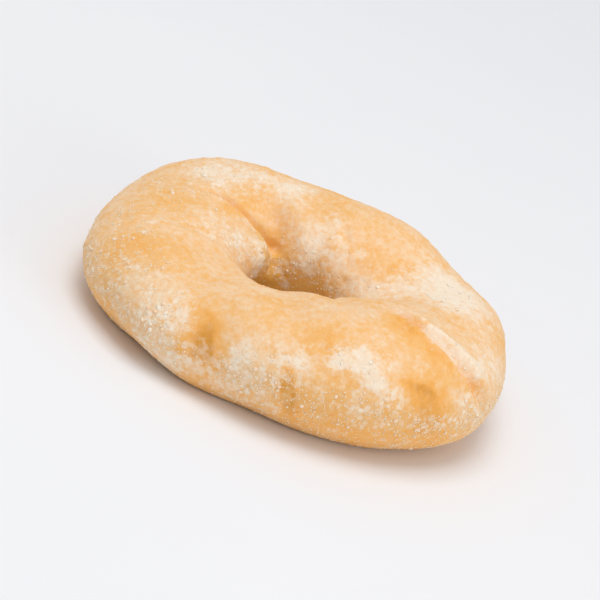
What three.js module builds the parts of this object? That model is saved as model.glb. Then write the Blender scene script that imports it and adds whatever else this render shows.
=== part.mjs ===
// A sourdough bagel: one uneven ring of risen dough round a small oval hole.
// The strip of dough was rolled and joined by hand, so a deep fold crosses the
// ring at its front right, with a smaller one opposite, and the crown rises and
// sinks between them. The bagel lies on the flat that it was baked on.
//
// A place on the crust is a pair of angles in degrees. The ring angle runs round
// the hole from +X, anticlockwise from above. The section angle runs round the
// dough: 0 is the outer wall, 90 the crown, 180 the wall of the hole, 270 below.
import * as THREE from "three";

// ---- Driving dimensions, in millimetres, degrees and shares ----
const LENGTH = 112.8; // across the ring along X
const WIDTH = 103.2; // across the ring along Y
const CROWN_HEIGHT = 27.5; // mean height of the crown
const HOLE_LENGTH = 27.2; // the hole at its narrowest level, along X
const HOLE_WIDTH = 21.2; // the hole at its narrowest level, along Y
const HOLE_SHIFT = -0.7; // how far the hole stands off the middle, along X
const WAIST = 0.47; // the level of the widest outline, as a share of the crown
const SIDE_POWER = 0.95; // 1 is an elliptical section, and less is fuller
const CROWN_POWER = 0.97;
const BASE_POWER = 0.93;
const BASE_SINK = 1.8; // how far the risen dough was pressed flat by its weight
const FLAT_BLEND = 1.0; // the rounding between the flat base and the wall

// Slow swells round the ring: so many waves in a turn, their height, and where
// the first crest stands.
const OUTLINE_SWELLS = [
  { waves: 2, height: 2.1, at: -25 },
  { waves: 3, height: 1.5, at: 17 },
  { waves: 4, height: 2.6, at: 40 },
  { waves: 5, height: 1.2, at: -22 },
];
const CROWN_SWELLS = [
  { waves: 1, height: 2.8, at: 33 },
  { waves: 2, height: 2.2, at: -69 },
  { waves: 3, height: 1.1, at: -47 },
];

// Shallow waves of the whole crust, round the ring and round the section.
const RIPPLES = [
  { ring: 4, section: 1, height: 0.3, at: 40 },
  { ring: 5, section: 2, height: 0.25, at: 110 },
  { ring: 7, section: 1, height: 0.25, at: 200 },
  { ring: 9, section: 3, height: 0.2, at: 310 },
  { ring: 11, section: 2, height: 0.18, at: 75 },
  { ring: 6, section: 3, height: 0.22, at: 260 },
];

// Puffs and hollows of the crust: the place, how far each reaches and its height.
const PUFFS = [
  { ring: 84, section: 146, reach: 9, height: 1.8 }, // pale lobe over the hole
  { ring: 132, section: 98, reach: 8, height: 0.9 }, // shoulder beyond the small fold
  { ring: 178, section: 108, reach: 10, height: 1.0 }, // left lobe beside the hole
  { ring: 58, section: 82, reach: 11, height: 0.6 }, // far right shoulder
  { ring: 10, section: 68, reach: 12, height: 0.8 }, // right lobe
  { ring: 304, section: 84, reach: 9, height: 0.9 }, // front lobe before the deep fold
  { ring: 290, section: 58, reach: 12, height: 0.6 },
  { ring: 252, section: 62, reach: 13, height: 0.6 },
  { ring: 228, section: 72, reach: 8, height: -0.7 }, // hollow in the front left crown
  { ring: 274, section: 100, reach: 7, height: -0.5 },
  { ring: 350, section: 112, reach: 8, height: -0.7 }, // hollow beyond the deep fold
  { ring: 297, section: 38, reach: 4.5, height: 0.5 }, // floury blister
  { ring: 160, section: 164, reach: 5, height: 1.1 }, // floury lumps on the hole's wall
  { ring: 152, section: 156, reach: 3.5, height: 0.6 },
  { ring: 170, section: 148, reach: 3.5, height: 0.5 },
  { ring: 146, section: 192, reach: 6, height: -1.3 }, // the wall below them
  { ring: 36, section: 42, reach: 8, height: -0.5 },
  { ring: 250, section: 22, reach: 6, height: -0.5 }, // dent in the front wall
  { ring: 228, section: 12, reach: 9, height: 0.6 },
  { ring: 276, section: 10, reach: 8, height: -0.4 },
];

// Folds cross the crust along a path of [ring, section] places. Each is a groove
// of some depth and half-width. A lip of dough rises beside it, to the left of the
// path where its side is 1 and to the right where it is -1. The groove fades in
// and out over a share of its length. A groove below 0 deep is a ridge.
const FOLDS = [
  {
    name: "deep fold at the front right",
    path: [
      [309, 150],
      [317, 124],
      [320, 106],
      [322, 92],
      [325, 78],
      [328, 64],
      [330, 50],
      [333, 34],
      [336, 18],
      [339, 0],
      [341, -18],
    ],
    depth: 2.5,
    halfWidth: 2.0,
    lip: 0.9,
    side: 1,
    fadeIn: 0.3,
    fadeOut: 0.3,
  },
  {
    name: "rim of the lobe before the deep fold",
    path: [
      [315, 104],
      [318, 88],
      [321, 75],
      [324, 61],
      [326, 47],
      [329, 31],
      [332, 15],
    ],
    depth: -0.7,
    halfWidth: 1.8,
    lip: 0,
    side: 1,
    fadeIn: 0.3,
    fadeOut: 0.4,
  },
  {
    name: "small fold at the far left",
    path: [
      [161, 76],
      [156, 90],
      [152, 103],
      [150, 115],
      [147, 126],
      [141, 137],
      [135, 148],
      [130, 162],
    ],
    depth: 2.6,
    halfWidth: 1.5,
    lip: 0.8,
    side: -1,
    fadeIn: 0.3,
    fadeOut: 0.15,
  },
  {
    name: "shallow valley down the far wall of the hole",
    path: [
      [121, 96],
      [125, 113],
      [130, 131],
      [134, 149],
      [135, 168],
      [134, 186],
    ],
    depth: 2.3,
    halfWidth: 2.5,
    lip: 0,
    side: 1,
    fadeIn: 0.6,
    fadeOut: 0.2,
  },
  {
    name: "short crease on the far crown",
    path: [
      [80, 118],
      [75, 128],
      [68, 138],
    ],
    depth: 0.7,
    halfWidth: 1.3,
    lip: 0.2,
    side: 1,
    fadeIn: 0.3,
    fadeOut: 0.3,
  },
  {
    name: "low ridge along the left lobe",
    path: [
      [186, 36],
      [191, 60],
      [196, 82],
      [200, 104],
      [200, 122],
      [204, 138],
    ],
    depth: -0.6,
    halfWidth: 1.9,
    lip: 0,
    side: 1,
    fadeIn: 0.2,
    fadeOut: 0.3,
  },
];
const FOLD_STEPS = 80;
const LIP_OFFSET = 1.7; // how far the lip's crest stands off, in half-widths
const LIP_SPREAD = 1.1; // the lip's own half-width, in half-widths of the groove

// The grid of the crust. Its columns stand closer together at the two main folds,
// and lean there so that they run along the grooves.
const COLUMNS = 104;
const ROWS = 46;
const GATHER_AT = 149; // the folds stand here and half a turn further on
const GATHER_SHARE = 0.4; // how much closer the columns stand there
const LEANS = [
  { ring: 328, section: 62, most: 11 }, // along the deep fold
  { ring: 148, section: 122, most: 19 }, // along the small fold
];

const CRUST_COLOUR = 0xe4bf8c;
const CRUST_ROUGHNESS = 0.88;

const STEP = 1e-3; // radians, for slopes

const radians = (degrees) => THREE.MathUtils.degToRad(degrees);

// The half-diameter of an oval, in the direction of a ring angle.
function ovalRadius(ring, length, width) {
  return 1 / Math.hypot(Math.cos(ring) / (length / 2), Math.sin(ring) / (width / 2));
}

function swell(swells, ring) {
  return swells.reduce(
    (sum, { waves, height, at }) => sum + height * Math.cos(waves * (ring - radians(at))),
    0,
  );
}

// A cosine or sine made fuller or leaner by a power, with its sign kept.
function rounded(value, power) {
  return Math.sign(value) * Math.abs(value) ** power;
}

// The smooth ring of dough, before its relief. Both angles are in radians here.
function ringPoint(ring, section) {
  const outer = ovalRadius(ring, LENGTH, WIDTH) + swell(OUTLINE_SWELLS, ring);
  const inner = ovalRadius(ring, HOLE_LENGTH, HOLE_WIDTH) + HOLE_SHIFT * Math.cos(ring);
  const crown = CROWN_HEIGHT + swell(CROWN_SWELLS, ring);
  const waist = WAIST * crown;
  const radius =
    (outer + inner) / 2 + ((outer - inner) / 2) * rounded(Math.cos(section), SIDE_POWER);
  const lift = Math.sin(section);
  const height =
    lift > 0
      ? waist + (crown - waist) * rounded(lift, CROWN_POWER)
      : waist + (waist + BASE_SINK) * rounded(lift, BASE_POWER);
  return new THREE.Vector3(radius * Math.cos(ring), radius * Math.sin(ring), height);
}

// The direction straight out of the smooth ring.
function ringNormal(ring, section) {
  const along = ringPoint(ring + STEP, section).sub(ringPoint(ring - STEP, section));
  const across = ringPoint(ring, section + STEP).sub(ringPoint(ring, section - STEP));
  return along.cross(across).normalize();
}

// The steps of a fold: each one's place, its sideways direction and its strength.
function foldSteps({ path, side, fadeIn, fadeOut }) {
  const route = new THREE.CatmullRomCurve3(
    path.map(([ring, section]) => new THREE.Vector3(radians(ring), radians(section), 0)),
    false,
    "catmullrom",
    0.5,
  ).getPoints(FOLD_STEPS);
  const places = route.map(({ x, y }) => ringPoint(x, y));
  return places.map((place, i) => {
    const before = places[Math.max(i - 1, 0)];
    const after = places[Math.min(i + 1, FOLD_STEPS)];
    const tangent = after.clone().sub(before).normalize();
    const sideways = ringNormal(route[i].x, route[i].y).cross(tangent).multiplyScalar(side);
    const share = i / FOLD_STEPS;
    const strength =
      THREE.MathUtils.smoothstep(share, 0, fadeIn) *
      THREE.MathUtils.smoothstep(1 - share, 0, fadeOut);
    return { place, sideways, strength };
  });
}

const folds = FOLDS.map((fold) => ({ ...fold, steps: foldSteps(fold) }));
const puffs = PUFFS.map((puff) => ({
  ...puff,
  place: ringPoint(radians(puff.ring), radians(puff.section)),
}));

const bell = (distance, spread) => Math.exp(-((distance / spread) ** 2));

// How far a fold lifts or lowers the crust at a point of the smooth ring.
function foldRelief({ steps, depth, halfWidth, lip }, point) {
  let nearest = steps[0];
  for (const step of steps) {
    if (step.place.distanceToSquared(point) < nearest.place.distanceToSquared(point)) {
      nearest = step;
    }
  }
  const offset = point.clone().sub(nearest.place);
  const signed = Math.sign(offset.dot(nearest.sideways)) * offset.length();
  const groove = -depth * bell(signed, halfWidth);
  const ridge = lip * bell(signed - LIP_OFFSET * halfWidth, LIP_SPREAD * halfWidth);
  return nearest.strength * (groove + ridge);
}

function relief(ring, section, point) {
  let height = 0;
  for (const ripple of RIPPLES) {
    const phase = ripple.ring * ring + ripple.section * section - radians(ripple.at);
    height += ripple.height * Math.cos(phase);
  }
  for (const puff of puffs) {
    height += puff.height * bell(puff.place.distanceTo(point), puff.reach);
  }
  for (const fold of folds) {
    height += foldRelief(fold, point);
  }
  return height;
}

// Lifts whatever would lie under the base up to it, with a rounded edge.
function pressedFlat(height) {
  const share = THREE.MathUtils.clamp(0.5 + (0.5 * height) / FLAT_BLEND, 0, 1);
  return height * share + FLAT_BLEND * share * (1 - share);
}

function crustPoint(ring, section) {
  const point = ringPoint(ring, section);
  const height = relief(ring, section, point);
  point.addScaledVector(ringNormal(ring, section), height);
  point.z = pressedFlat(point.z);
  return point;
}

// The ring angle of a column of the grid where it passes a section angle.
function columnAngle(turn, section) {
  let angle = turn - (GATHER_SHARE / 2) * Math.sin(2 * (turn - radians(GATHER_AT)));
  for (const lean of LEANS) {
    const nearness = (0.5 + 0.5 * Math.cos(turn - radians(lean.ring))) ** 4;
    angle -= radians(lean.most) * nearness * Math.sin(section - radians(lean.section));
  }
  return angle;
}

function crustGeometry() {
  const positions = [];
  const indices = [];
  const corner = (column, row) => (column % COLUMNS) * ROWS + (row % ROWS);
  for (let column = 0; column < COLUMNS; column += 1) {
    const turn = (2 * Math.PI * column) / COLUMNS;
    for (let row = 0; row < ROWS; row += 1) {
      const section = (2 * Math.PI * row) / ROWS;
      positions.push(...crustPoint(columnAngle(turn, section), section));
      const near = corner(column, row);
      const far = corner(column + 1, row + 1);
      indices.push(near, corner(column + 1, row), far);
      indices.push(near, far, corner(column, row + 1));
    }
  }
  const geometry = new THREE.BufferGeometry();
  geometry.setAttribute("position", new THREE.Float32BufferAttribute(positions, 3));
  geometry.setIndex(indices);
  geometry.computeVertexNormals();
  return geometry;
}

// The origin is under the middle of the ring's box, on the base.
function centredOnBase(geometry) {
  geometry.computeBoundingBox();
  const middle = geometry.boundingBox.getCenter(new THREE.Vector3());
  return geometry.translate(-middle.x, -middle.y, -geometry.boundingBox.min.z);
}

const crust = new THREE.MeshStandardMaterial({
  color: CRUST_COLOUR,
  roughness: CRUST_ROUGHNESS,
  metalness: 0,
});
const ring = new THREE.Mesh(centredOnBase(crustGeometry()), crust);
ring.name = "bagel";

const bagel = new THREE.Group();
bagel.add(ring);

export default bagel;
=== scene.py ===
"""A sourdough bagel: an uneven ring of baked dough, dusted with flour and semolina.

The file is laid out as a Blender add-on. Each operator makes one piece, the
property groups hold the sizes and colours that a baker would change, and the
panel in the 3D view's sidebar lists them. Everything is in metres with +Z up.

A place on the crust is a pair of angles in degrees. The ring angle runs round the
hole from +X, anticlockwise from above. The section angle runs round the dough: 0
is the outer wall, 90 the crown, 180 the wall of the hole and 270 the underside.
"""

import math

import bpy
import numpy as np
from bpy.props import FloatProperty, FloatVectorProperty, IntProperty, PointerProperty
from mathutils import Matrix, Vector


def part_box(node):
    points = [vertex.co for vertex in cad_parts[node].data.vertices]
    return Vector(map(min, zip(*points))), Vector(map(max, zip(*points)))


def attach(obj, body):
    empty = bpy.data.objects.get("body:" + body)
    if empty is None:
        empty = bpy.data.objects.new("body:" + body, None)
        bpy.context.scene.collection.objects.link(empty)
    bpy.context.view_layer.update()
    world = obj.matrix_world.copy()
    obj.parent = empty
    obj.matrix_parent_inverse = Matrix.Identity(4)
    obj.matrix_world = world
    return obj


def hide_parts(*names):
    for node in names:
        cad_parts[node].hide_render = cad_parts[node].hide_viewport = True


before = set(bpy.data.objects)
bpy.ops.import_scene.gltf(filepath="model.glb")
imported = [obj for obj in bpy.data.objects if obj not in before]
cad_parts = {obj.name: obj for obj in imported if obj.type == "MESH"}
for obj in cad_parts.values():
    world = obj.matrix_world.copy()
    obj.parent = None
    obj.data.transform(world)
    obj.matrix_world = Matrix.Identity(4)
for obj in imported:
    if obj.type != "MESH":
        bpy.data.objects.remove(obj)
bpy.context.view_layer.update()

bl_info = {
    "name": "Sourdough Bagel",
    "version": (1, 0, 0),
    "blender": (4, 5, 0),
    "location": "View3D > Sidebar > Bagel",
    "description": "Builds a floured sourdough bagel with its crust, semolina and flour",
    "category": "Add Mesh",
}

NODE = "bagel"
BODY = "root"
MM = 0.001
FLOOR_REACH = 3.0  # from the bagel to the floor's edges, in metres
SKY_COLOUR = (0.97, 0.98, 1.0)

# ---- The form of the dough, in millimetres and degrees ----

# Slow swells round the ring: waves in a turn, height, and where the first crest is.
# They are the results of a least-squares fit to the outline in the photo, rounded, and
# so are the sizes in BagelForm from its length to its hole shift.
OUTLINE_SWELLS = ((2, 2.1, -25), (3, 1.5, 17), (4, 2.6, 40), (5, 1.2, -22))
CROWN_SWELLS = ((1, 2.8, 33), (2, 2.2, -69), (3, 1.1, -47))

# Shallow waves of the whole crust: waves round the ring, waves round the section,
# height and phase.
RIPPLES = (
    (4, 1, 0.30, 40),
    (5, 2, 0.25, 110),
    (7, 1, 0.25, 200),
    (9, 3, 0.20, 310),
    (11, 2, 0.18, 75),
    (6, 3, 0.22, 260),
)

# Puffs and hollows of the crust: ring angle, section angle, reach and height.
PUFFS = (
    (84, 146, 9, 1.8),  # pale lobe over the hole
    (132, 98, 8, 0.9),  # shoulder beyond the small fold
    (178, 108, 10, 1.0),  # left lobe beside the hole
    (58, 82, 11, 0.6),  # far right shoulder
    (10, 68, 12, 0.8),  # right lobe
    (304, 84, 9, 0.9),  # front lobe before the deep fold
    (290, 58, 12, 0.6),
    (252, 62, 13, 0.6),
    (228, 72, 8, -0.7),  # hollow in the front left crown
    (274, 100, 7, -0.5),
    (350, 112, 8, -0.7),  # hollow beyond the deep fold
    (297, 38, 4.5, 0.5),  # floury blister
    (160, 164, 5, 1.1),  # floury lumps on the wall of the hole
    (152, 156, 3.5, 0.6),
    (170, 148, 3.5, 0.5),
    (146, 192, 6, -1.3),  # the wall below them
    (36, 42, 8, -0.5),
    (250, 22, 6, -0.5),  # dent in the front wall
    (228, 12, 9, 0.6),
    (276, 10, 8, -0.4),
)

# Folds cross the crust along a path of (ring, section) places. Beside each groove a
# lip of dough rises, to the left of the path where its side is 1 and to the right
# where it is -1. A groove below 0 deep is a ridge.
FOLDS = (
    {  # deep fold at the front right
        "path": (
            (309, 150),
            (317, 124),
            (320, 106),
            (322, 92),
            (325, 78),
            (328, 64),
            (330, 50),
            (333, 34),
            (336, 18),
            (339, 0),
            (341, -18),
        ),
        "depth": 2.5,
        "half_width": 2.0,
        "lip": 0.9,
        "side": 1,
        "fade_in": 0.3,
        "fade_out": 0.3,
    },
    {  # rim of the lobe before the deep fold
        "path": (
            (315, 104),
            (318, 88),
            (321, 75),
            (324, 61),
            (326, 47),
            (329, 31),
            (332, 15),
        ),
        "depth": -0.7,
        "half_width": 1.8,
        "lip": 0,
        "side": 1,
        "fade_in": 0.3,
        "fade_out": 0.4,
    },
    {  # small fold at the far left
        "path": (
            (161, 76),
            (156, 90),
            (152, 103),
            (150, 115),
            (147, 126),
            (141, 137),
            (135, 148),
            (130, 162),
        ),
        "depth": 2.6,
        "half_width": 1.5,
        "lip": 0.8,
        "side": -1,
        "fade_in": 0.3,
        "fade_out": 0.15,
    },
    {  # shallow valley down the far wall of the hole
        "path": (
            (121, 96),
            (125, 113),
            (130, 131),
            (134, 149),
            (135, 168),
            (134, 186),
        ),
        "depth": 2.3,
        "half_width": 2.5,
        "lip": 0,
        "side": 1,
        "fade_in": 0.6,
        "fade_out": 0.2,
    },
    {  # short crease on the far crown
        "path": (
            (80, 118),
            (75, 128),
            (68, 138),
        ),
        "depth": 0.7,
        "half_width": 1.3,
        "lip": 0.2,
        "side": 1,
        "fade_in": 0.3,
        "fade_out": 0.3,
    },
    {  # low ridge along the left lobe
        "path": (
            (186, 36),
            (191, 60),
            (196, 82),
            (200, 104),
            (200, 122),
            (204, 138),
        ),
        "depth": -0.6,
        "half_width": 1.9,
        "lip": 0,
        "side": 1,
        "fade_in": 0.2,
        "fade_out": 0.3,
    },
)
FOLD_STEPS = 160
LIP_OFFSET = 1.7  # how far the lip's crest stands off, in half-widths
LIP_SPREAD = 1.1  # the lip's own half-width, in half-widths of the groove

# The mesh of the crust: its points round the ring and round the section. The columns
# gather by a share about one ring angle and the one opposite, where the folds are.
COLUMNS = 444
ROWS = 220
GATHER_AT = 149
GATHER_SHARE = 0.2
SLOPE_STEP = 1e-3  # in radians, the step that normals are measured over

# The wall of the hole fades in and out between these section angles.
WALL_BEGINS = (172, 188)
WALL_ENDS = (230, 280)

# ---- Where the crust is browned and where it is floury ----

# How strongly a place is browned, floured, gritty or tinted yellower as painted shade.
FAINT = 0.2
LIGHT = 0.3
PLAIN = 0.45
STRONG = 0.7
FULL = 1.0

# The crust away from any listed place, and what the crown, the underside, the outer
# wall and the wall of the hole add to it.
TOAST = 0.30
CROWN_TOAST = 0.14
UNDERSIDE_TOAST = 0.35
# The wall of the hole is browned, and darker still as painted shade.
HOLE_TOAST_AND_SHADE = 0.15
FLOUR = 0.06
WALL_FLOUR = 0.12
HOLE_FLOUR = -0.5
GRIT = 0.10
WALL_GRIT = 0.55
HOLE_GRIT = -0.4
GRIT_IN_FLOUR = 0.30  # how much of the flour counts as grit

# Places judged one by one: ring angle, section angle, reach in millimetres, strength.
TOASTED = (
    (176, 74, 7, LIGHT),  # golden left lobe
    (206, 52, 7, PLAIN),
    (214, 64, 6, FAINT),
    (209, 18, 6, LIGHT),
    (159, 110, 3, LIGHT),  # where the small fold begins
    (136, 110, 5, LIGHT),  # band across the far crown
    (100, 102, 5, FAINT),
    (132, 142, 3.5, PLAIN),  # brown end of the valley
    # Down in the hole this browning is partly real and partly painted shade, darkening the slit
    # under the lumps.
    (120, 174, 4, PLAIN),  # foot of the wall of the hole
    (150, 186, 5, FULL),
    (68, 176, 5, PLAIN),
    (248, 30, 4.5, STRONG),  # brown patch on the front wall
    (251, 10, 4.5, FULL),
    (263, 77, 4, FAINT),  # front crown
    (282, 54, 6, LIGHT),
    (277, 5, 4, FULL),  # low on the front wall
    (280, 345, 5, PLAIN),
    (290, 356, 6, PLAIN),
    (302, 350, 8, PLAIN),
    (315, 10, 6, PLAIN),
    (318, 354, 8, PLAIN),
    (317, 80, 4.5, STRONG),  # along the deep fold
    (323, 59, 5, PLAIN),
    (313, 31, 4, STRONG),
    (332, 31, 3, STRONG),
    (35, 109, 5, LIGHT),  # right lobe
    (28, 350, 8, LIGHT),  # guessed, on the walls out of sight
    (92, 358, 9, LIGHT),
    (150, 350, 8, LIGHT),
)
FLOURED = (
    (296, 39, 4.5, FULL),  # white patch on the front lobe
    (303, 42, 3, LIGHT),
    (288, 38, 3.5, STRONG),
    (299, 26, 4, PLAIN),
    (278, 31, 3.5, STRONG),  # flecks along the front wall
    (272, 24, 3, PLAIN),
    (266, 42, 3, LIGHT),
    (261, 26, 3, PLAIN),
    (263, 10, 4, PLAIN),
    (305, 24, 3.5, PLAIN),
    (296, 0, 3, LIGHT),
    (220, 24, 7, LIGHT),  # left wall
    (231, 26, 6, LIGHT),
    (239, 27, 4, LIGHT),
    (236, 350, 8, PLAIN),  # veil low on the front
    (246, 341, 6, LIGHT),
    (260, 340, 6, LIGHT),
    (270, 345, 6, LIGHT),
    (142, 74, 8, STRONG),  # far side
    (130, 91, 5, PLAIN),
    (116, 96, 5, STRONG),
    (183, 117, 6, LIGHT),  # shoulder inside the left lobe
    (176, 138, 5, PLAIN),
    (154, 153, 3, PLAIN),  # lumps on the wall of the hole
    (160, 164, 3.5, STRONG),
    (98, 147, 8, PLAIN),  # pale lobe over the hole
    (94, 160, 4, LIGHT),
    (58, 147, 5, LIGHT),
    (114, 190, 2.5, FULL),  # crumb of flour down in the hole
    (22, 146, 5, PLAIN),  # beside the hole on the right
    (15, 123, 6, PLAIN),
    (325, 100, 4, PLAIN),  # beyond the deep fold
    (328, 78, 4, STRONG),
    (332, 63, 4, STRONG),
    (337, 46, 4.5, STRONG),
    (328, 18, 4, PLAIN),
    (335, 358, 5, LIGHT),
    (349, 39, 8, PLAIN),  # right lobe
    (4, 84, 7, PLAIN),
    (14, 72, 9, PLAIN),
    (28, 88, 9, STRONG),
    (60, 355, 8, LIGHT),  # guessed, on the walls out of sight
    (125, 10, 9, LIGHT),
)

# Where the crust is rougher with grit than its slope alone makes it, or smoother.
GRITTY = (
    (205, 15, 14, LIGHT),  # left wall
    (228, 30, 13, LIGHT),
    (196, 60, 13, LIGHT),  # left lobe
    (165, 70, 12, LIGHT),
    (168, 135, 9, LIGHT),
    (60, 60, 20, -LIGHT),  # far side
    (15, 60, 20, -FAINT),
    (285, 22, 10, -FAINT),  # front lobe
    (312, 28, 9, -LIGHT),
    (322, 0, 7, -FAINT),
    (268, 344, 9, LIGHT),  # low on the front
    (290, 346, 10, PLAIN),
    (312, 344, 10, PLAIN),
    (331, 350, 8, LIGHT),
    (250, 16, 6, -STRONG),  # brown patch
    (91, 8, 11, -PLAIN),  # drifts of grit on the wall at the back
    (62, 350, 9, LIGHT),
    (121, 348, 9, LIGHT),
    (144, 14, 9, -PLAIN),
    (36, 12, 10, -PLAIN),
    (6, 350, 8, LIGHT),
)

# Painted shade: a yellower brown put into the creases between lobes and along the foot of the wall
# of the hole, where shade falls.
SHADE_TINTED = (
    (150, 116, 2, PLAIN),  # along the small fold
    (144, 128, 2.4, STRONG),
    (153, 145, 3, FULL),
    (134, 142, 3.6, STRONG),  # brown end of the valley
    (132, 162, 3.4, STRONG),
    (158, 182, 3, STRONG),  # foot of the wall of the hole
    (142, 187, 5, FULL),
    (118, 189, 5, STRONG),
    (92, 186, 5, STRONG),
    (66, 182, 5, STRONG),
    (45, 165, 4, STRONG),
)

# The places' edges wander by waves through the dough: wavelength and reach.
EDGE_DRIFT = ((17, 1.0), (9.4, 0.7), (5.3, 0.4))


def radians(degrees):
    return np.radians(np.asarray(degrees, float))


def bell(distance, spread):
    return np.exp(-((distance / spread) ** 2))


def smooth_step(value, low, high):
    share = np.clip((value - low) / (high - low), 0, 1)
    return share * share * (3 - 2 * share)


def oval_radius(ring, length, width):
    """Half the diameter of an oval, in the direction of a ring angle."""
    return 1 / np.hypot(np.cos(ring) / (length / 2), np.sin(ring) / (width / 2))


def swell(swells, ring):
    return sum(height * np.cos(waves * (ring - radians(at))) for waves, height, at in swells)


def rounded(value, power):
    """A cosine or sine made fuller or leaner by a power, with its sign kept."""
    return np.sign(value) * np.abs(value) ** power


class DoughForm:
    """The ring of dough in millimetres, from the sizes of a BagelForm."""

    def __init__(self, sizes):
        self.length = sizes.length / MM
        self.width = sizes.width / MM
        self.crown = sizes.crown_height / MM
        self.hole_length = sizes.hole_length / MM
        self.hole_width = sizes.hole_width / MM
        self.hole_shift = sizes.hole_shift / MM
        self.sink = sizes.base_sink / MM
        self.blend = sizes.base_blend / MM
        self.waist = sizes.waist
        self.side_power = sizes.side_power
        self.crown_power = sizes.crown_power
        self.base_power = sizes.base_power

    def ring_point(self, ring, section):
        """A point of the smooth ring, before its relief."""
        outer = oval_radius(ring, self.length, self.width) + swell(OUTLINE_SWELLS, ring)
        inner = oval_radius(ring, self.hole_length, self.hole_width)
        inner = inner + self.hole_shift * np.cos(ring)
        crown = self.crown + swell(CROWN_SWELLS, ring)
        waist = self.waist * crown
        side = rounded(np.cos(section), self.side_power)
        radius = (outer + inner) / 2 + (outer - inner) / 2 * side
        lift = np.sin(section)
        above = waist + (crown - waist) * rounded(lift, self.crown_power)
        below = waist + (waist + self.sink) * rounded(lift, self.base_power)
        height = np.where(lift > 0, above, below)
        return np.stack([radius * np.cos(ring), radius * np.sin(ring), height], -1)

    def ring_normal(self, ring, section):
        step = SLOPE_STEP
        along = self.ring_point(ring + step, section) - self.ring_point(ring - step, section)
        across = self.ring_point(ring, section + step) - self.ring_point(ring, section - step)
        normal = np.cross(along, across)
        return normal / np.linalg.norm(normal, axis=-1, keepdims=True)

    def place(self, ring, section):
        return self.ring_point(radians(ring), radians(section))

    def fold_relief(self, fold, points):
        """How far a fold lifts or lowers each point of the smooth ring."""
        route = curve_through([radians(place) for place in fold["path"]], FOLD_STEPS)
        steps = self.ring_point(route[:, 0], route[:, 1])
        runs = np.diff(steps, axis=0)
        normals = self.ring_normal(route[:-1, 0], route[:-1, 1])
        sideways = fold["side"] * np.cross(normals, runs)
        nearest = np.full(len(points), np.inf)
        signed = np.zeros(len(points))
        share = np.zeros(len(points))
        for i, (start, run) in enumerate(zip(steps, runs)):
            offset = points - start
            along = np.clip(offset @ run / (run @ run), 0, 1)
            offset = offset - along[:, None] * run
            distance = np.linalg.norm(offset, axis=1)
            closer = distance < nearest
            nearest[closer] = distance[closer]
            signed[closer] = (np.sign(offset @ sideways[i]) * distance)[closer]
            share[closer] = (i + along[closer]) / FOLD_STEPS
        width = fold["half_width"]
        groove = -fold["depth"] * bell(signed, width)
        ridge = fold["lip"] * bell(signed - LIP_OFFSET * width, LIP_SPREAD * width)
        fade_in = smooth_step(share, 0, fold["fade_in"])
        fade_out = smooth_step(1 - share, 0, fold["fade_out"])
        return fade_in * fade_out * (groove + ridge)

    def relief(self, ring, section, points):
        height = np.zeros(len(points))
        for ring_waves, section_waves, size, at in RIPPLES:
            phase = ring_waves * ring + section_waves * section - radians(at)
            height += size * np.cos(phase)
        for ring_angle, section_angle, reach, size in PUFFS:
            away = np.linalg.norm(points - self.place(ring_angle, section_angle), axis=1)
            height += size * bell(away, reach)
        for fold in FOLDS:
            height += self.fold_relief(fold, points)
        return height

    def pressed_flat(self, height):
        """Lifts whatever would lie under the base up to it, with a rounded edge."""
        share = np.clip(0.5 + 0.5 * height / self.blend, 0, 1)
        return height * share + self.blend * share * (1 - share)

    def crust_points(self, ring, section):
        points = self.ring_point(ring, section)
        height = self.relief(ring, section, points)
        points = points + self.ring_normal(ring, section) * height[:, None]
        points[:, 2] = self.pressed_flat(points[:, 2])
        return points

    def mask(self, places, points):
        """The sum of the bells of a list of places, with uneven edges, at each point."""
        total = np.zeros(len(points))
        points = drifted(points)
        for ring_angle, section_angle, reach, amount in places:
            middle = drifted(self.place(ring_angle, section_angle))
            total += amount * bell(np.linalg.norm(points - middle, axis=1), reach)
        return total


def drifted(points):
    """Points pushed about by a few waves, so that round things come out uneven."""
    for wavelength, reach in EDGE_DRIFT:
        waves = np.sin(2 * np.pi * np.roll(points, -1, axis=-1) / wavelength + wavelength)
        points = points + reach * waves
    return points


def curve_through(places, count):
    """A smooth curve through the places, as count + 1 evenly timed points."""
    points = np.array(places)
    points = np.vstack([2 * points[0] - points[1], points, 2 * points[-1] - points[-2]])
    spans = len(places) - 1
    time = np.linspace(0, spans, count + 1)
    span = np.minimum(time.astype(int), spans - 1)
    t = (time - span)[:, None]
    a, b, c, d = (points[span + k] for k in range(4))
    cubic = 3 * b - a - 3 * c + d
    square = 2 * a - 5 * b + 4 * c - d
    return 0.5 * (2 * b + (c - a) * t + square * t**2 + cubic * t**3)


# ---- Building node trees ----


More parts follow.
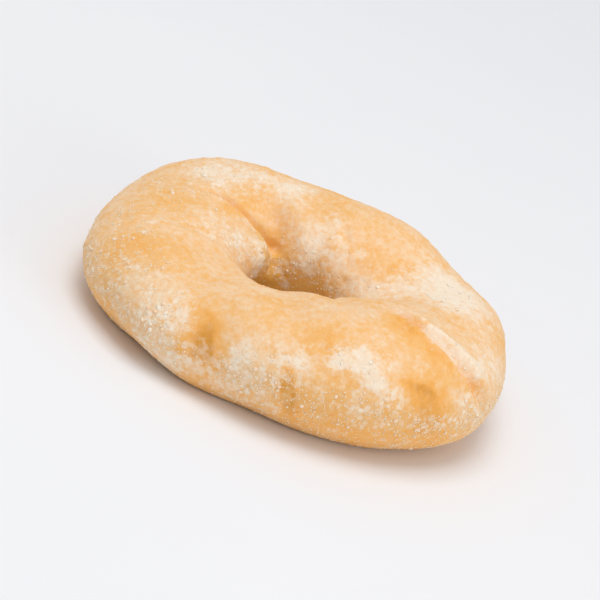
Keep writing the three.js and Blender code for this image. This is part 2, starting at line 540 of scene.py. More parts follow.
class NodeSheet:
    """Adds nodes to a node tree and joins them by name or number of their sockets."""

    def __init__(self, tree):
        self.tree = tree

    def add(self, kind, inputs=None, **settings):
        node = self.tree.nodes.new(kind)
        for name, value in settings.items():
            setattr(node, name, value)
        for key, value in (inputs or {}).items():
            if isinstance(value, bpy.types.NodeSocket):
                self.tree.links.new(value, node.inputs[key])
            else:
                node.inputs[key].default_value = value
        return node

    def math(self, operation, *values):
        inputs = dict(enumerate(values))
        return self.add("ShaderNodeMath", inputs, operation=operation).outputs[0]

    def scaled(self, vector, factor):
        inputs = {0: vector, "Scale": factor}
        return self.add("ShaderNodeVectorMath", inputs, operation="SCALE").outputs[0]

    def span(self, value, low, high, to_low=0.0, to_high=1.0, smooth=True):
        """The value moved from the span low to high into the span to_low to to_high."""
        inputs = {"Value": value, 1: low, 2: high, 3: to_low, 4: to_high}
        shape = "SMOOTHSTEP" if smooth else "LINEAR"
        return self.add("ShaderNodeMapRange", inputs, interpolation_type=shape).outputs[0]

    def noise(self, place, wavelength, detail=3.0, roughness=0.55, distortion=0.0, seed=0.0):
        """Noise from 0 to 1 whose lumps are about a wavelength apart."""
        inputs = {
            "Vector": place,
            "W": seed,
            "Scale": 1 / wavelength,
            "Detail": detail,
            "Roughness": roughness,
            "Distortion": distortion,
        }
        return self.add("ShaderNodeTexNoise", inputs, noise_dimensions="4D").outputs[0]

    def cells(self, place, size, seed=0.0):
        """Voronoi cells: the distance from each cell's seed, and the cell's colour."""
        inputs = {"Vector": place, "W": seed, "Scale": 1 / size}
        node = self.add("ShaderNodeTexVoronoi", inputs, voronoi_dimensions="4D")
        return node.outputs["Distance"], node.outputs["Color"]


def new_inputs(tree, sockets):
    """Gives a node group named inputs: (name, socket type, default)."""
    for name, kind, default in sockets:
        socket = tree.interface.new_socket(name, in_out="INPUT", socket_type=kind)
        if default is not None:
            socket.default_value = default


def new_outputs(tree, sockets):
    for name, kind in sockets:
        tree.interface.new_socket(name, in_out="OUTPUT", socket_type=kind)


def apply_tree(piece, tree, values):
    """Runs a geometry tree on a piece with the named values, and keeps its mesh."""
    modifier = piece.modifiers.new(tree.name, "NODES")
    modifier.node_group = tree
    for item in tree.interface.items_tree:
        if item.in_out == "INPUT" and item.name in values:
            modifier[item.identifier] = values[item.name]
    evaluated = piece.evaluated_get(bpy.context.evaluated_depsgraph_get())
    made = bpy.data.meshes.new_from_object(evaluated)
    piece.modifiers.remove(modifier)
    made.name = piece.name
    piece.data = made


# ---- Geometry trees ----


def crust_relief_tree():
    """Raises the fine relief of the crust: lumps, wrinkles, blisters and flour."""
    tree = bpy.data.node_groups.new("crust relief", "GeometryNodeTree")
    new_inputs(
        tree,
        (
            ("Geometry", "NodeSocketGeometry", None),
            ("Lump Height", "NodeSocketFloat", 0.4 * MM),
            ("Wrinkle Height", "NodeSocketFloat", 0.2 * MM),
            ("Blister Height", "NodeSocketFloat", 0.3 * MM),
            ("Flour Height", "NodeSocketFloat", 0.2 * MM),
            ("Seed", "NodeSocketFloat", 0.0),
            ("Material", "NodeSocketMaterial", None),
        ),
    )
    new_outputs(tree, (("Geometry", "NodeSocketGeometry"),))
    sheet = NodeSheet(tree)
    given = sheet.add("NodeGroupInput").outputs
    place = sheet.add("GeometryNodeInputPosition").outputs[0]
    grit = named_value(sheet, "grit")

    lumps = sheet.noise(place, 9 * MM, 3.0, 0.6, seed=given["Seed"])
    lumps = sheet.math("MULTIPLY", sheet.math("SUBTRACT", lumps, 0.5), given["Lump Height"])

    wrinkles = sheet.noise(place, 4.5 * MM, 3.0, 0.6, 0.8, seed=given["Seed"])
    wrinkles = sheet.math("ABSOLUTE", sheet.math("SUBTRACT", wrinkles, 0.5))
    wrinkles = sheet.span(wrinkles, 0.0, 0.16, -1.0, 0.0)
    wrinkles = sheet.math("MULTIPLY", wrinkles, given["Wrinkle Height"])

    away, colour = sheet.cells(place, 5.0 * MM, seed=given["Seed"])
    pick = sheet.add("FunctionNodeSeparateColor", {0: colour}).outputs
    dome = sheet.span(away, 0.0, 0.42, 1.0, 0.0)
    kept = sheet.span(pick[0], 0.5, 0.95)
    blisters = sheet.math("MULTIPLY", sheet.math("MULTIPLY", dome, kept), given["Blister Height"])

    away, colour = sheet.cells(place, 2.2 * MM, seed=given["Seed"])
    pick = sheet.add("FunctionNodeSeparateColor", {0: colour}).outputs
    dome = sheet.span(away, 0.0, 0.6, 1.0, 0.0)
    share = sheet.span(grit, 0.0, 0.9, 0.25, 1.0)
    grains = sheet.math("MULTIPLY", sheet.math("MULTIPLY", dome, pick[1]), share)
    grains = sheet.math("MULTIPLY", grains, given["Flour Height"])

    soft = sheet.math("ADD", lumps, wrinkles)
    sharp = sheet.math("ADD", blisters, grains)
    height = sheet.math("ADD", soft, sharp)
    level = sheet.add("ShaderNodeSeparateXYZ", {0: place}).outputs[2]
    height = sheet.math("MULTIPLY", height, sheet.span(level, 0.3 * MM, 3 * MM))
    normal = sheet.add("GeometryNodeInputNormal").outputs[0]
    moved = sheet.add(
        "GeometryNodeSetPosition",
        {"Geometry": given["Geometry"], "Offset": sheet.scaled(normal, height)},
    )
    finish_tree(sheet, moved.outputs[0], given["Material"])
    return tree


def named_value(sheet, name):
    """The value of a named attribute of the mesh."""
    node = sheet.add("GeometryNodeInputNamedAttribute", {"Name": name}, data_type="FLOAT")
    return node.outputs[0]


def random_value(sheet, low, high, seed):
    node = sheet.add("FunctionNodeRandomValue", {2: low, 3: high, "Seed": seed}, data_type="FLOAT")
    return node.outputs[1]


def finish_tree(sheet, geometry, material):
    """Ends a tree: real meshes in place of instances, shaded smooth, with a material."""
    real = sheet.add("GeometryNodeRealizeInstances", {"Geometry": geometry})
    smooth = sheet.add("GeometryNodeSetShadeSmooth", {"Geometry": real.outputs[0]})
    inputs = {"Geometry": smooth.outputs[0], "Material": material}
    dressed = sheet.add("GeometryNodeSetMaterial", inputs)
    sheet.add("NodeGroupOutput", {0: dressed.outputs[0]})


def grain_scatter_tree():
    """Strews grains over a surface, most where the attribute named by Cover is high."""
    tree = bpy.data.node_groups.new("grain scatter", "GeometryNodeTree")
    new_inputs(
        tree,
        (
            ("Geometry", "NodeSocketGeometry", None),
            ("Size", "NodeSocketFloat", 0.5 * MM),
            ("Flatness", "NodeSocketFloat", 0.7),
            ("Cover", "NodeSocketString", "grit"),
            ("Density", "NodeSocketFloat", 1e6),
            ("Thin Below", "NodeSocketFloat", 0.2),
            ("Full Above", "NodeSocketFloat", 1.0),
            ("Segments", "NodeSocketInt", 4),
            ("Rings", "NodeSocketInt", 2),
            ("Seed", "NodeSocketInt", 1),
            ("Material", "NodeSocketMaterial", None),
        ),
    )
    new_outputs(tree, (("Geometry", "NodeSocketGeometry"),))
    sheet = NodeSheet(tree)
    given = sheet.add("NodeGroupInput").outputs
    place = sheet.add("GeometryNodeInputPosition").outputs[0]
    level = sheet.add("ShaderNodeSeparateXYZ", {0: place}).outputs[2]
    cover = named_value(sheet, given["Cover"])
    share = sheet.span(cover, given["Thin Below"], given["Full Above"])
    patches = sheet.noise(place, 5 * MM, 3.0, 0.6, seed=given["Seed"])
    patches = sheet.span(patches, 0.36, 0.6, 0.15, 1.0)
    above_base = sheet.span(level, 0.8 * MM, 1.6 * MM)
    share = sheet.math("MULTIPLY", share, sheet.math("MULTIPLY", patches, above_base))
    density = sheet.math("MULTIPLY", share, given["Density"])
    points = sheet.add(
        "GeometryNodeDistributePointsOnFaces",
        {"Mesh": given["Geometry"], "Density": density, "Seed": given["Seed"]},
        distribute_method="RANDOM",
    )
    grain = sheet.add(
        "GeometryNodeMeshUVSphere",
        {"Radius": 0.5, "Segments": given["Segments"], "Rings": given["Rings"]},
    ).outputs[0]
    knobs = sheet.noise(place, 0.45, 2.0, 0.6, seed=given["Seed"])
    knobs = sheet.span(knobs, 0.3, 0.7, -0.2, 0.2)
    outwards = sheet.add("GeometryNodeInputNormal").outputs[0]
    grain = sheet.add(
        "GeometryNodeSetPosition", {"Geometry": grain, "Offset": sheet.scaled(outwards, knobs)}
    ).outputs[0]
    spin = sheet.add(
        "FunctionNodeRandomValue",
        {0: (-0.5, -0.5, -3.2), 1: (0.5, 0.5, 3.2), "Seed": given["Seed"]},
        data_type="FLOAT_VECTOR",
    ).outputs[0]
    turn = sheet.add(
        "FunctionNodeRotateRotation",
        {"Rotation": points.outputs["Rotation"], "Rotate By": spin},
        rotation_space="LOCAL",
    ).outputs[0]
    size = sheet.math("POWER", random_value(sheet, 0.0, 1.0, given["Seed"]), 2.0)
    size = sheet.span(size, 0.0, 1.0, 0.45, 1.5, smooth=False)
    size = sheet.math("MULTIPLY", size, given["Size"])
    other_seed = sheet.math("ADD", given["Seed"], 7.0)
    third_seed = sheet.math("ADD", given["Seed"], 13.0)
    across = sheet.math("MULTIPLY", size, random_value(sheet, 0.65, 1.1, other_seed))
    thick = sheet.math("MULTIPLY", size, given["Flatness"])
    scale = sheet.add("ShaderNodeCombineXYZ", {0: size, 1: across, 2: thick}).outputs[0]
    strewn = sheet.add(
        "GeometryNodeInstanceOnPoints",
        {"Points": points.outputs["Points"], "Instance": grain, "Rotation": turn, "Scale": scale},
    ).outputs[0]
    tinted = sheet.add(
        "GeometryNodeStoreNamedAttribute",
        {"Geometry": strewn, "Name": "tint", "Value": random_value(sheet, 0.0, 1.0, third_seed)},
        data_type="FLOAT",
        domain="INSTANCE",
    ).outputs[0]
    finish_tree(sheet, tinted, given["Material"])
    return tree


# ---- Shader groups and materials ----


def mottle_group():
    """A shader group: a soft patchy value from 0 to 1 at two scales."""
    name = "mottle"
    if name in bpy.data.node_groups:
        return bpy.data.node_groups[name]
    tree = bpy.data.node_groups.new(name, "ShaderNodeTree")
    new_inputs(
        tree,
        (
            ("Place", "NodeSocketVector", None),
            ("Broad", "NodeSocketFloat", 0.01),
            ("Fine", "NodeSocketFloat", 0.002),
            ("Fine Share", "NodeSocketFloat", 0.35),
            ("Seed", "NodeSocketFloat", 0.0),
        ),
    )
    new_outputs(tree, (("Value", "NodeSocketFloat"),))
    sheet = NodeSheet(tree)
    given = sheet.add("NodeGroupInput").outputs
    layers = []
    for wavelength in (given["Broad"], given["Fine"]):
        scale = sheet.math("DIVIDE", 1.0, wavelength)
        inputs = {
            "Vector": given["Place"],
            "W": given["Seed"],
            "Scale": scale,
            "Detail": 3.0,
            "Roughness": 0.6,
        }
        noise = sheet.add("ShaderNodeTexNoise", inputs, noise_dimensions="4D").outputs[0]
        layers.append(sheet.span(noise, 0.28, 0.72, smooth=False))
    mixed = sheet.add("ShaderNodeMix", {0: given["Fine Share"], 2: layers[0], 3: layers[1]})
    sheet.add("NodeGroupOutput", {0: mixed.outputs[0]})
    return tree


def new_material(name):
    """An empty material with its Principled shader, and a sheet to build it on."""
    material = bpy.data.materials.new(name)
    material.use_nodes = True
    material.node_tree.nodes.clear()
    sheet = NodeSheet(material.node_tree)
    shader = sheet.add("ShaderNodeBsdfPrincipled")
    sheet.add("ShaderNodeOutputMaterial", {0: shader.outputs[0]})
    return material, sheet, shader


def mottle(sheet, place, broad, fine, fine_share, seed):
    inputs = {
        "Place": place,
        "Broad": broad,
        "Fine": fine,
        "Fine Share": fine_share,
        "Seed": seed,
    }
    return sheet.add("ShaderNodeGroup", inputs, node_tree=mottle_group()).outputs[0]


def mix_colours(sheet, factor, first, second):
    inputs = {0: factor, 6: first, 7: second}
    return sheet.add("ShaderNodeMix", inputs, data_type="RGBA").outputs[2]


def opaque(colour):
    return (*colour, 1.0)


def crust_material(colours):
    """Baked crust: pale where floured, golden to brown where the oven caught it, with painted
    shade in the creases, down in the hole and in the gaps between grains.
    """
    material, sheet, shader = new_material("crust")
    place = sheet.add("ShaderNodeTexCoord").outputs["Object"]
    toast = sheet.add("ShaderNodeAttribute", attribute_name="toast").outputs["Fac"]
    flour = sheet.add("ShaderNodeAttribute", attribute_name="flour").outputs["Fac"]
    grit = sheet.add("ShaderNodeAttribute", attribute_name="grit").outputs["Fac"]
    moist = sheet.add("ShaderNodeAttribute", attribute_name="moist").outputs["Fac"]

    patches = mottle(sheet, place, 7 * MM, 1.6 * MM, 0.5, 3.0)
    even = sheet.span(toast, 0.65, 1.1, 1.0, 0.5)
    swing = sheet.span(patches, 0.0, 1.0, -0.52, 0.52, smooth=False)
    swing = sheet.math("MULTIPLY", swing, even)
    browned = sheet.math("MULTIPLY", sheet.math("ADD", toast, swing), 0.75)
    ramp = sheet.add("ShaderNodeValToRGB", {0: browned})
    stops = ramp.color_ramp.elements
    stops[0].position = 0.0
    stops[0].color = opaque(colours.pale)
    # The darkest stop shows down in the hole, where it is painted shade, and in the brownest
    # patches.
    stops[1].position = 1.0
    stops[1].color = opaque(colours.dark)
    toned = ((0.24, colours.tan), (0.47, colours.golden), (0.75, colours.brown))
    for position, colour in toned:
        stop = stops.new(position)
        stop.color = opaque(colour)
    # Painted shade: the creases and the foot of the hole's wall are mixed toward a yellower brown,
    # more where the crust is browner.
    moist = sheet.math("MULTIPLY", moist, sheet.span(browned, 0.0, 0.5, 0.2, 0.55))
    baked = mix_colours(sheet, moist, ramp.outputs[0], opaque(colours.moist))

    away, cell = sheet.cells(place, 1.3 * MM, seed=5.0)
    picked = sheet.add("ShaderNodeSeparateColor", {0: cell}).outputs
    powder = mottle(sheet, place, 2.6 * MM, 0.9 * MM, 0.5, 11.0)
    powder = sheet.span(powder, 0.0, 1.0, -0.58, 0.56, smooth=False)
    powder = sheet.math("MULTIPLY", powder, sheet.span(grit, 0.0, 0.9, 0.6, 1.1))
    powder = sheet.math("MULTIPLY", powder, even)
    cover = sheet.math("ADD", flour, powder)
    jitter = sheet.span(picked[1], 0.0, 1.0, -0.40, 0.40, smooth=False)
    jitter = sheet.math("MULTIPLY", jitter, sheet.span(grit, 0.0, 0.8, 0.3, 1.0))
    cover = sheet.math("ADD", cover, jitter)
    cover = sheet.span(cover, 0.05, 0.85, 0.0, 0.92)
    colour = mix_colours(sheet, cover, baked, opaque(colours.flour))

    # The low gaps between the grain domes are mixed toward a golden crust colour: bare crust
    # showing between the flour, and painted shade in these gaps.
    gaps = sheet.span(away, 0.36, 0.70)
    gaps = sheet.math("MULTIPLY", gaps, sheet.span(grit, 0.1, 0.9, 0.06, 0.50))
    colour = mix_colours(sheet, gaps, colour, opaque(colours.gap_crust_and_shade))
    sheet.tree.links.new(colour, shader.inputs["Base Color"])

    rough = sheet.span(cover, 0.0, 1.0, 0.70, 0.95, smooth=False)
    sheet.tree.links.new(rough, shader.inputs["Roughness"])
    domes = sheet.math("MULTIPLY", sheet.span(away, 0.0, 0.7, 1.0, 0.0), picked[2])
    grain = sheet.noise(place, 0.5 * MM, 3.0, 0.65, seed=2.0)
    skin = sheet.noise(place, 1.8 * MM, 3.0, 0.6, 0.4, seed=4.0)
    grain = sheet.math("MULTIPLY", grain, 0.3)
    skin = sheet.math("MULTIPLY", skin, 0.5)
    height = sheet.math("ADD", grain, skin)
    height = sheet.math("ADD", height, sheet.math("MULTIPLY", domes, 0.6))
    height = sheet.math("MULTIPLY", height, sheet.span(grit, 0.0, 0.9, 0.45, 1.15))
    bump = sheet.add("ShaderNodeBump", {"Strength": 0.65, "Distance": 0.45 * MM, "Height": height})
    sheet.tree.links.new(bump.outputs[0], shader.inputs["Normal"])
    shader.inputs["Specular IOR Level"].default_value = 0.12
    shader.inputs["Subsurface Weight"].default_value = 0.12
    shader.inputs["Subsurface Radius"].default_value = (1.0, 0.8, 0.5)
    shader.inputs["Subsurface Scale"].default_value = 1.5 * MM
    return material


def grain_material(name, light, dark, roughness):
    """Dry grains of one kind, each a little lighter or darker than the next."""
    material, sheet, shader = new_material(name)
    place = sheet.add("ShaderNodeTexCoord").outputs["Object"]
    tint = sheet.add("ShaderNodeAttribute", attribute_name="tint").outputs["Fac"]
    patches = mottle(sheet, place, 4 * MM, 0.4 * MM, 0.4, 6.0)
    share = sheet.math("MULTIPLY", sheet.math("ADD", tint, patches), 0.5)
    colour = mix_colours(sheet, share, opaque(light), opaque(dark))
    sheet.tree.links.new(colour, shader.inputs["Base Color"])
    height = sheet.noise(place, 0.2 * MM, 2.0, 0.6, seed=8.0)
    bump = sheet.add("ShaderNodeBump", {"Strength": 0.4, "Distance": 0.1 * MM, "Height": height})
    sheet.tree.links.new(bump.outputs[0], shader.inputs["Normal"])
    shader.inputs["Roughness"].default_value = roughness
    shader.inputs["Specular IOR Level"].default_value = 0.25
    shader.inputs["Subsurface Weight"].default_value = 0.15
    shader.inputs["Subsurface Radius"].default_value = (1.0, 0.8, 0.6)
    shader.inputs["Subsurface Scale"].default_value = 0.5 * MM
    return material


def floor_material(colour, shade):
    """A plain pale sweep with the faintest cloudiness."""
    material, sheet, shader = new_material("floor")
    place = sheet.add("ShaderNodeTexCoord").outputs["Object"]
    patches = mottle(sheet, place, 0.4, 0.05, 0.3, 1.0)
    mixed = mix_colours(sheet, patches, opaque(colour), opaque(shade))
    sheet.tree.links.new(mixed, shader.inputs["Base Color"])
    shader.inputs["Roughness"].default_value = 0.8
    shader.inputs["Specular IOR Level"].default_value = 0.2
    return material


# ---- Settings ----


def length_property(name, description, millimetres, **limits):
    return FloatProperty(
        name=name,
        description=description,
        default=millimetres * MM,
        min=limits.get("low", 0.0) * MM,
        subtype="DISTANCE",
        unit="LENGTH",
        precision=4,
    )


def colour_property(name, description, colour):
    return FloatVectorProperty(
        name=name, description=description, default=colour, min=0, max=1, subtype="COLOR", size=3
    )


def share_property(name, description, default, most=2.0):
    return FloatProperty(name=name, description=description, default=default, min=0.0, max=most)


class BagelForm(bpy.types.PropertyGroup):
    """The sizes of the ring of dough."""

    length: length_property("Length", "Across the ring along X", 112.8)
    width: length_property("Width", "Across the ring along Y", 103.2)
    crown_height: length_property("Crown Height", "Mean height of the crown", 27.5)
    hole_length: length_property("Hole Length", "The hole at its narrowest, along X", 27.2)
    hole_width: length_property("Hole Width", "The hole at its narrowest, along Y", 21.2)
    hole_shift: length_property("Hole Shift", "How far the hole is off the middle", -0.7, low=-10)
    base_sink: length_property("Base Sink", "How far the dough is pressed flat", 1.8)
    base_blend: length_property("Base Blend", "Rounding at the edge of the base", 1.0)
    waist: share_property("Waist", "Level of the widest outline, as a share", 0.47)
    side_power: share_property("Side Power", "Fullness of the section's sides", 0.95)
    crown_power: share_property("Crown Power", "Fullness of the section's crown", 0.97)
    base_power: share_property("Base Power", "Fullness of the section's base", 0.93)


class CrustRelief(bpy.types.PropertyGroup):
    """The fine relief of the crust."""

    lump_height: length_property("Lumps", "Height of the soft lumps", 1.1)
    wrinkle_height: length_property("Wrinkles", "Depth of the fine wrinkles", 0.16)
    blister_height: length_property("Blisters", "Height of the small blisters", 0.35)
    flour_height: length_property("Flour", "Height of the caked flour", 0.38)
    seed: FloatProperty(name="Seed", description="Another crust for another number", default=4.0)


class CrustColours(bpy.types.PropertyGroup):
    """The colours of the crust and of what is strewn on it."""

    pale: colour_property("Pale", "Crust that stayed pale", (0.90, 0.69, 0.46))
    tan: colour_property("Tan", "Crust that is just coloured", (0.90, 0.595, 0.34))
    golden: colour_property("Golden", "Golden crust", (0.895, 0.505, 0.19))
    brown: colour_property("Brown", "Well browned crust", (0.89, 0.435, 0.11))
    # Painted shade: the yellower brown of the creases and of the foot of the wall of the hole.
    moist: colour_property("Moist", "Crust that stayed moist in the folds", (0.77, 0.455, 0.095))
    # Painted shade down in the hole, and the darkest browning elsewhere.
    dark: colour_property("Dark", "The darkest crust, down in the hole", (0.72, 0.325, 0.06))
    flour: colour_property("Flour", "Dusted flour", (0.92, 0.80, 0.65))
    # Bare golden crust in the gaps between the grain domes, darkened there as painted shade.
    gap_crust_and_shade: colour_property("Speck", "Small baked specks", (0.82, 0.48, 0.19))
    semolina_light: colour_property("Semolina", "Light semolina", (0.97, 0.87, 0.70))
    semolina_dark: colour_property("Dark Semolina", "Dark semolina", (0.91, 0.72, 0.47))


class Strewing(bpy.types.PropertyGroup):
    """The grains on the crust."""

    semolina_size: length_property("Semolina Size", "Length of a semolina grain", 0.5)
    semolina_density: FloatProperty(
        name="Semolina Density", description="Grains on a square metre", default=2.2e6, min=0
    )
    crumb_size: length_property("Crumb Size", "Length of a coarse crumb", 0.9)
    crumb_density: FloatProperty(
        name="Crumb Density", description="Crumbs on a square metre", default=3.0e5, min=0
    )
    clump_size: length_property("Clump Size", "Length of a clump of flour", 1.0)
    clump_density: FloatProperty(
        name="Clump Density", description="Clumps on a square metre", default=2.0e5, min=0
    )
    seed: IntProperty(name="Seed", description="Another strewing for another number", default=12)


class Studio(bpy.types.PropertyGroup):
    """The camera, lights and floor."""

    elevation: FloatProperty(
        name="Elevation",
        description="Height of the camera over the bagel",
        default=math.radians(24.5),
        subtype="ANGLE",
        unit="ROTATION",
    )
    roll: FloatProperty(
        name="Roll",
        description="How far the camera leans over",
        default=math.radians(23.0),
        subtype="ANGLE",
        unit="ROTATION",
    )
    distance: length_property("Distance", "From the bagel to the camera", 903)
    target_height: length_property("Target Height", "The level that the camera looks at", 14)
    lens: FloatProperty(
        name="Lens", description="Focal length in millimetres", default=215.0, unit="CAMERA"
    )
    floor: colour_property("Floor", "The pale floor", (0.88, 0.88, 0.89))
    floor_shade: colour_property("Floor Shade", "Its faint clouds", (0.85, 0.85, 0.87))
    key_power: FloatProperty(
        name="Key Power", description="The large light overhead", default=5.7, unit="POWER"
    )
    fill_power: FloatProperty(
        name="Fill Power", description="The low light at the right", default=2.8, unit="POWER"
    )
    sky: share_property("Sky", "Strength of the white surroundings", 0.58)


# ---- Making the pieces ----


def new_piece(name, mesh):
    piece = bpy.data.objects.new(name, mesh)
    bpy.context.scene.collection.objects.link(piece)
    return piece


def ring_mesh(name, vertices, columns, rows):
    """A closed ring of quads from a grid of points that wraps both ways."""
    index = np.arange(columns * rows).reshape(columns, rows)
    beyond = np.roll(index, -1, axis=0)
    quads = np.stack([index, beyond, np.roll(beyond, -1, 1), np.roll(index, -1, 1)], -1)
    mesh = bpy.data.meshes.new(name)
    mesh.from_pydata(vertices.tolist(), [], quads.reshape(-1, 4).tolist())
    return mesh


def set_value(mesh, name, values):
    attribute = mesh.attributes.new(name, "FLOAT", "POINT")
    attribute.data.foreach_set("value", np.asarray(values, np.float32))


def crust_mesh(form):
    """The bare ring of dough, with its toast, flour, grit and painted shade tint as attributes."""
    turn = 2 * np.pi * np.arange(COLUMNS) / COLUMNS
    turn = turn - GATHER_SHARE / 2 * np.sin(2 * (turn - radians(GATHER_AT)))
    around = 2 * np.pi * np.arange(ROWS) / ROWS
    ring, section = (grid.ravel() for grid in np.meshgrid(turn, around, indexing="ij"))
    smooth = form.ring_point(ring, section)
    normal = form.ring_normal(ring, section)
    points = form.crust_points(ring, section)

    level = smooth[:, 2] / form.crown
    facing_up = normal[:, 2]
    side = 1 - np.abs(facing_up)
    inside = smooth_step(section, *radians(WALL_BEGINS))
    inside = inside * (1 - smooth_step(section, *radians(WALL_ENDS)))

    toast = TOAST + CROWN_TOAST * smooth_step(level, 0.4, 0.95) + form.mask(TOASTED, smooth)
    # Down the wall of the hole the crust is browned and also darkened as painted shade.
    toast += UNDERSIDE_TOAST * smooth_step(-facing_up, -0.2, 0.7) + HOLE_TOAST_AND_SHADE * inside

    wall = smooth_step(side, 0.45, 1.0) * smooth_step(facing_up, -0.4, 0.3)
    flour = FLOUR + WALL_FLOUR * wall + form.mask(FLOURED, smooth) + HOLE_FLOUR * inside

    wall = smooth_step(side, 0.45, 0.95) * smooth_step(facing_up, -0.7, 0.0)
    grit = GRIT + WALL_GRIT * wall + GRIT_IN_FLOUR * np.clip(flour, 0, 1)
    grit = np.clip(grit + form.mask(GRITTY, smooth) + HOLE_GRIT * inside, 0, 1)

    low, high = points.min(0), points.max(0)
    solid_low, solid_high = (np.array(corner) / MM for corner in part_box(NODE))
    points += (solid_low + solid_high) / 2 - (low + high) / 2
    points[:, 2] += solid_low[2] - points[:, 2].min()
    mesh = ring_mesh("crust", points * MM, COLUMNS, ROWS)
    set_value(mesh, "toast", toast)
    set_value(mesh, "flour", flour)
    set_value(mesh, "grit", grit)
    # The painted shade tint of the creases and the hole.
    set_value(mesh, "moist", np.clip(form.mask(SHADE_TINTED, smooth), 0, 1))
    return mesh


class BAGEL_OT_crust(bpy.types.Operator):
    """Bake the crust: the ring of dough with its folds, relief and browning"""

    bl_idname = "bagel.crust"
    bl_label = "Bake the Crust"

    def execute(self, context):
        scene = context.scene
        crust = new_piece("crust", crust_mesh(DoughForm(scene.bagel_form)))
        relief = scene.bagel_relief
        values = {
            "Lump Height": relief.lump_height,
            "Wrinkle Height": relief.wrinkle_height,
            "Blister Height": relief.blister_height,
            "Flour Height": relief.flour_height,
            "Seed": relief.seed,
            "Material": crust_material(scene.bagel_colours),
        }
        apply_tree(crust, crust_relief_tree(), values)
        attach(crust, BODY)
        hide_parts(NODE)
        return {"FINISHED"}


def strew(name, values):
    """A piece of loose grains on the crust."""
    grains = new_piece(name, bpy.data.objects["crust"].data.copy())
    apply_tree(grains, grain_scatter_tree(), values)
    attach(grains, BODY)


class BAGEL_OT_semolina(bpy.types.Operator):
    """Strew fine semolina over the floury parts of the crust"""

    bl_idname = "bagel.semolina"
    bl_label = "Strew Semolina"

    def execute(self, context):
        strewing = context.scene.bagel_strewing
        colours = context.scene.bagel_colours
        light, dark = colours.semolina_light, colours.semolina_dark
        values = {
            "Size": strewing.semolina_size,
            "Flatness": 0.75,
            "Cover": "grit",
            "Density": strewing.semolina_density,
            "Thin Below": 0.0,
            "Full Above": 0.9,
            "Segments": 4,
            "Rings": 2,
            "Seed": strewing.seed,
            "Material": grain_material("semolina", light, dark, 0.6),
        }
        strew("semolina", values)
        return {"FINISHED"}


class BAGEL_OT_crumbs(bpy.types.Operator):
    """Strew coarse crumbs of semolina, fewer and larger"""

    bl_idname = "bagel.crumbs"
    bl_label = "Strew Crumbs"

    def execute(self, context):
        strewing = context.scene.bagel_strewing
        colours = context.scene.bagel_colours
        values = {
            "Size": strewing.crumb_size,
            "Flatness": 0.6,
            "Cover": "grit",
            "Density": strewing.crumb_density,
            "Thin Below": 0.2,
            "Full Above": 0.95,
            "Segments": 6,
            "Rings": 4,
            "Seed": strewing.seed + 2,
            "Material": grain_material("crumbs", colours.flour, colours.tan, 0.8),
        }
        strew("crumbs", values)
        return {"FINISHED"}


class BAGEL_OT_flour(bpy.types.Operator):
    """Leave small clumps of flour where the crust is whitest"""

    bl_idname = "bagel.flour"
    bl_label = "Dust with Flour"

    def execute(self, context):
        strewing = context.scene.bagel_strewing
        colours = context.scene.bagel_colours
        values = {
            "Size": strewing.clump_size,
            "Flatness": 0.3,
            "Cover": "flour",
            "Density": strewing.clump_density,
            "Thin Below": 0.3,
            "Full Above": 1.1,
            "Segments": 8,
            "Rings": 5,
            "Seed": strewing.seed + 1,
            "Material": grain_material("flour", colours.flour, colours.semolina_light, 0.95),
        }
        strew("flour", values)
        return {"FINISHED"}


def area_light(name, direction, distance, size, power):
    """A square soft light that shines on the origin from a direction."""
    data = bpy.data.lights.new(name, "AREA")
    data.energy = power
    data.size = size
    light = bpy.data.objects.new(name, data)
    light.location = Vector(direction).normalized() * distance
    light.rotation_euler = light.location.to_track_quat("Z", "Y").to_euler()
    bpy.context.scene.collection.objects.link(light)


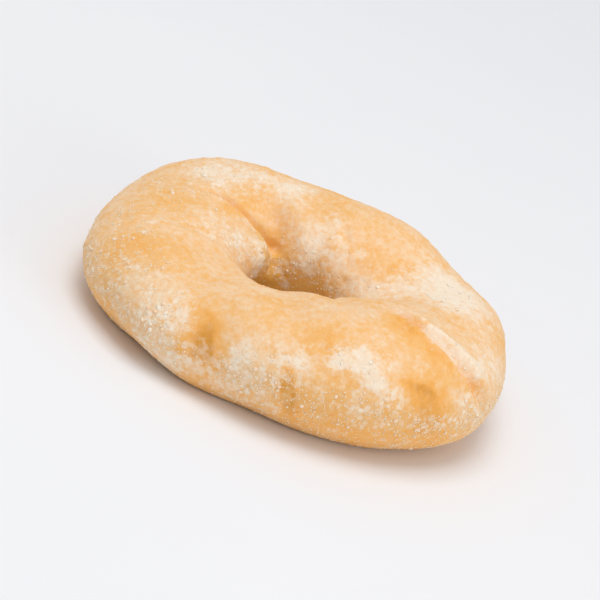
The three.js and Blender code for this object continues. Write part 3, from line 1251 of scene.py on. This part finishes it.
class BAGEL_OT_stage(bpy.types.Operator):
    """Set up the pale floor, the soft lights and the camera"""

    bl_idname = "bagel.stage"
    bl_label = "Set the Stage"

    def execute(self, context):
        scene = context.scene
        studio = scene.bagel_studio
        reach = FLOOR_REACH
        corners = [(-reach, -reach, 0), (reach, -reach, 0), (reach, reach, 0), (-reach, reach, 0)]
        mesh = bpy.data.meshes.new("floor")
        mesh.from_pydata(corners, [], [(0, 1, 2, 3)])
        mesh.materials.append(floor_material(studio.floor, studio.floor_shade))
        floor = new_piece("floor", mesh)

        world = bpy.data.worlds.new("surroundings")
        world.use_nodes = True
        background = world.node_tree.nodes["Background"]
        background.inputs["Color"].default_value = opaque(SKY_COLOUR)
        background.inputs["Strength"].default_value = studio.sky
        scene.world = world
        area_light("key", (-0.10, -0.09, 1.0), 1.1, 0.7, studio.key_power)
        area_light("fill", (0.80, -0.56, 0.30), 1.2, 0.6, studio.fill_power)

        camera = bpy.data.objects.new("camera", bpy.data.cameras.new("camera"))
        scene.collection.objects.link(camera)
        camera.data.lens = studio.lens
        target = Vector((0, 0, studio.target_height))
        back = Vector((0, -math.cos(studio.elevation), math.sin(studio.elevation)))
        level = back.to_track_quat("Z", "Y").to_matrix().to_4x4()
        turn = Matrix.Rotation(studio.roll, 4, "Z")
        camera.matrix_world = Matrix.Translation(target + back * studio.distance) @ level @ turn
        scene.camera = camera
        scene.view_settings.view_transform = "Standard"
        return {"FINISHED"}


class BAGEL_PT_panel(bpy.types.Panel):
    """Lists the steps of the bagel and their settings"""

    bl_idname = "BAGEL_PT_panel"
    bl_label = "Sourdough Bagel"
    bl_space_type = "VIEW_3D"
    bl_region_type = "UI"
    bl_category = "Bagel"

    def draw(self, context):
        layout = self.layout
        for step in STEPS:
            layout.operator(step.bl_idname)
        for name, group in SETTINGS.items():
            box = layout.box()
            box.label(text=group.bl_rna.description)
            for setting in group.__annotations__:
                box.prop(getattr(context.scene, name), setting)


SETTINGS = {
    "bagel_form": BagelForm,
    "bagel_relief": CrustRelief,
    "bagel_colours": CrustColours,
    "bagel_strewing": Strewing,
    "bagel_studio": Studio,
}
STEPS = (
    BAGEL_OT_crust,
    BAGEL_OT_semolina,
    BAGEL_OT_crumbs,
    BAGEL_OT_flour,
    BAGEL_OT_stage,
)
CLASSES = (*SETTINGS.values(), *STEPS, BAGEL_PT_panel)


def register():
    for made in CLASSES:
        bpy.utils.register_class(made)
    for name, group in SETTINGS.items():
        setattr(bpy.types.Scene, name, PointerProperty(type=group))


def unregister():
    for name in SETTINGS:
        delattr(bpy.types.Scene, name)
    for made in reversed(CLASSES):
        bpy.utils.unregister_class(made)


def main():
    register()
    bpy.ops.bagel.crust()
    bpy.ops.bagel.semolina()
    bpy.ops.bagel.crumbs()
    bpy.ops.bagel.flour()
    bpy.ops.bagel.stage()


if __name__ == "__main__":
    main()
